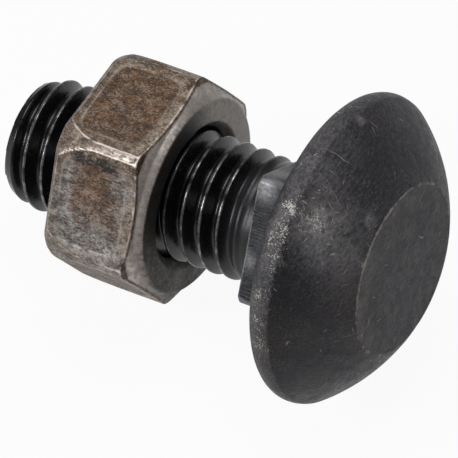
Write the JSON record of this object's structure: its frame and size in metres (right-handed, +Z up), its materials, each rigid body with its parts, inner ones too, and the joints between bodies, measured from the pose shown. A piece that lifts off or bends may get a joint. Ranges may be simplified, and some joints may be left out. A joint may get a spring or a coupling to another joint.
{
  "type": "plow bolt with hex nut",
  "caption": "Plow bolt: a domed round head with a flat top on a square neck and a coarse rolled thread, with a hex nut run part way up the thread.",
  "frame": {"origin": "on the floor, under the middle of the overall box of the bolt and nut as they lie at rest", "axes": "+X from the free end of the thread towards the head along the floor, +Z up; the bolt's own axis rises 11 degrees towards the head"},
  "size_m": [0.033, 0.0236, 0.0233],
  "materials": {
    "black_oxide_steel": "matte black oxide on forged steel, scuffed on the rim and glossier on the rolled thread",
    "brown_patina_steel": "brown phosphate and rust patina on forged steel, rubbed bright on the edges"
  },
  "bodies": {
    "bolt": {"bolt": "black_oxide_steel"},
    "nut": {"nut": "brown_patina_steel"}
  },
  "joints": [
    {"name": "nut_travel", "type": "slide", "parent": "bolt", "child": "nut", "axis": [-0.9818, 0, -0.1901], "range_m": [-0.0045, 0.0155]}
  ]
}
